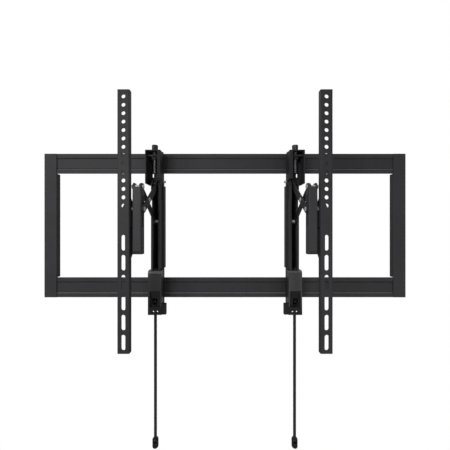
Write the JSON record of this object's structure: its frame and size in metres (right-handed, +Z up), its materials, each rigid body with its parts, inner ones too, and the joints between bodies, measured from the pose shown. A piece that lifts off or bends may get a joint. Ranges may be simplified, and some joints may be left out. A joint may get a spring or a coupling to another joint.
{
  "type": "tilt and swivel television wall mount",
  "caption": "Wall frame of flat rails with a pair of scissor arms that extend, swivel and tilt upright slotted bars for a flat television, with cord-pulled latches below.",
  "frame": {"origin": "middle of the wall plate on the wall plane", "axes": "+Z up, +Y into the wall, +X to the right of someone facing the mount"},
  "size_m": [0.76, 0.1345, 0.6693],
  "materials": {
    "black_powder_coat": "satin fine-grain powder coat",
    "zinc_plate": "bright zinc",
    "black_oxide_steel": "black oxide",
    "black_nylon": "moulded",
    "cover_plastic": "fine-grain moulded strip",
    "braided_cord": "braided nylon"
  },
  "bodies": {
    "wall_plate": {"top_rail": "black_powder_coat", "bottom_rail": "black_powder_coat", "top_rail_cover": "cover_plastic", "bottom_rail_cover": "cover_plastic", "left_end_plate": "black_powder_coat", "right_end_plate": "black_powder_coat", "plate_rivets": "black_powder_coat"},
    "left_hook": {"left_hook": "black_powder_coat"},
    "left_arm": {"left_top_housing": "black_powder_coat", "left_swivel_post": "black_oxide_steel", "left_post_nut": "zinc_plate", "left_latch_base": "black_nylon", "left_latch_cover": "black_nylon", "left_latch_spring": "zinc_plate"},
    "left_screw": {"left_level_screw": "black_oxide_steel", "left_screw_clip": "zinc_plate"},
    "left_latch": {"left_latch_bolt": "black_nylon", "left_pull_cord": "braided_cord", "left_cord_pull": "black_nylon"},
    "left_swing": {"left_swing_channel": "black_powder_coat", "left_upper_wall_pin": "black_oxide_steel"},
    "left_falling": {"left_falling_link": "black_powder_coat", "left_lower_tv_pin": "zinc_plate", "left_cross_rivet": "zinc_plate"},
    "left_rising": {"left_rising_link": "black_powder_coat", "left_lower_wall_pin": "zinc_plate"},
    "left_carrier": {"left_carrier_box": "black_powder_coat", "left_upper_tv_pin": "zinc_plate", "left_tilt_block": "black_powder_coat", "left_tilt_bolts": "black_oxide_steel"},
    "left_head": {"left_tilt_bracket": "black_powder_coat", "left_vesa_bar": "black_powder_coat", "left_bar_rivets": "black_powder_coat"},
    "right_hook": {"right_hook": "black_powder_coat"},
    "right_arm": {"right_top_housing": "black_powder_coat", "right_swivel_post": "black_oxide_steel", "right_post_nut": "zinc_plate", "right_latch_base": "black_nylon", "right_latch_cover": "black_nylon", "right_latch_spring": "zinc_plate"},
    "right_screw": {"right_level_screw": "black_oxide_steel", "right_screw_clip": "zinc_plate"},
    "right_latch": {"right_latch_bolt": "black_nylon", "right_pull_cord": "braided_cord", "right_cord_pull": "black_nylon"},
    "right_swing": {"right_swing_channel": "black_powder_coat", "right_upper_wall_pin": "black_oxide_steel"},
    "right_falling": {"right_falling_link": "black_powder_coat", "right_lower_tv_pin": "zinc_plate", "right_cross_rivet": "zinc_plate"},
    "right_rising": {"right_rising_link": "black_powder_coat", "right_lower_wall_pin": "zinc_plate"},
    "right_carrier": {"right_carrier_box": "black_powder_coat", "right_upper_tv_pin": "zinc_plate", "right_tilt_block": "black_powder_coat", "right_tilt_bolts": "black_oxide_steel"},
    "right_head": {"right_tilt_bracket": "black_powder_coat", "right_vesa_bar": "black_powder_coat", "right_bar_rivets": "black_powder_coat"}
  },
  "joints": [
    {"name": "left_side_shift", "type": "slide", "parent": "wall_plate", "child": "left_hook", "axis": [-1, 0, 0], "range_m": [-0.1, 0.18]},
    {"name": "left_level_slide", "type": "slide", "parent": "left_hook", "child": "left_arm", "axis": [0, 0, 1], "range_m": [-0.003, 0.003]},
    {"name": "left_level_turn", "type": "hinge", "parent": "left_arm", "child": "left_screw", "pos_m": [-0.1429, -0.031, 0.15], "axis": [0, 0, 1], "range_deg": [-1081, 1081]},
    {"name": "left_latch_slide", "type": "slide", "parent": "left_arm", "child": "left_latch", "axis": [0, 0, -1], "range_m": [0, 0.008], "stiffness_N_per_m": 400, "springref_m": -0.012, "deforming": ["left_latch_spring"]},
    {"name": "left_swivel", "type": "hinge", "parent": "left_arm", "child": "left_swing", "pos_m": [-0.134, -0.013, 0], "axis": [0, 0, 1], "range_deg": [-8, 8]},
    {"name": "left_extend", "type": "hinge", "parent": "left_swing", "child": "left_falling", "pos_m": [-0.1359, -0.036, 0.0845], "axis": [-1, 0, 0], "range_deg": [-37.5, 18]},
    {"name": "left_scissor_cross", "type": "hinge", "parent": "left_falling", "child": "left_rising", "pos_m": [-0.1383, -0.09441, 0.04628], "axis": [-1, 0, 0], "range_deg": [-36.1, 75.1]},
    {"name": "left_carrier_level", "type": "hinge", "parent": "left_rising", "child": "left_carrier", "pos_m": [-0.1408, -0.12294, 0.06495], "axis": [-1, 0, 0], "range_deg": [-37.6, 18.1]},
    {"name": "left_tilt", "type": "hinge", "parent": "left_carrier", "child": "left_head", "pos_m": [-0.1586, -0.121, -0.0245], "axis": [1, 0, 0], "range_deg": [-5, 12]},
    {"name": "right_side_shift", "type": "slide", "parent": "wall_plate", "child": "right_hook", "axis": [1, 0, 0], "range_m": [-0.1, 0.18]},
    {"name": "right_level_slide", "type": "slide", "parent": "right_hook", "child": "right_arm", "axis": [0, 0, 1], "range_m": [-0.003, 0.003]},
    {"name": "right_level_turn", "type": "hinge", "parent": "right_arm", "child": "right_screw", "pos_m": [0.1429, -0.031, 0.15], "axis": [0, 0, 1], "range_deg": [-1081, 1081]},
    {"name": "right_latch_slide", "type": "slide", "parent": "right_arm", "child": "right_latch", "axis": [0, 0, -1], "range_m": [0, 0.008], "stiffness_N_per_m": 400, "springref_m": -0.012, "deforming": ["right_latch_spring"]},
    {"name": "right_swivel", "type": "hinge", "parent": "right_arm", "child": "right_swing", "pos_m": [0.134, -0.013, 0], "axis": [0, 0, 1], "range_deg": [-8, 8]},
    {"name": "right_extend", "type": "hinge", "parent": "right_swing", "child": "right_falling", "pos_m": [0.1359, -0.036, 0.0845], "axis": [-1, 0, 0], "range_deg": [-37.5, 18]},
    {"name": "right_scissor_cross", "type": "hinge", "parent": "right_falling", "child": "right_rising", "pos_m": [0.1383, -0.09441, 0.04628], "axis": [-1, 0, 0], "range_deg": [-36.1, 75.1]},
    {"name": "right_carrier_level", "type": "hinge", "parent": "right_rising", "child": "right_carrier", "pos_m": [0.1408, -0.12294, 0.06495], "axis": [-1, 0, 0], "range_deg": [-37.6, 18.1]},
    {"name": "right_tilt", "type": "hinge", "parent": "right_carrier", "child": "right_head", "pos_m": [0.1586, -0.121, -0.0245], "axis": [1, 0, 0], "range_deg": [-5, 12]}
  ],
  "couplings": [
    {"joint": "left_level_turn", "follows": "left_level_slide", "rad_per_m": 6283.2},
    {"joint": "left_scissor_cross", "follows": "left_extend", "ratio": -2},
    {"joint": "left_carrier_level", "follows": "left_extend", "ratio": 1},
    {"joint": "right_level_turn", "follows": "right_level_slide", "rad_per_m": 6283.2},
    {"joint": "right_scissor_cross", "follows": "right_extend", "ratio": -2},
    {"joint": "right_carrier_level", "follows": "right_extend", "ratio": 1}
  ]
}
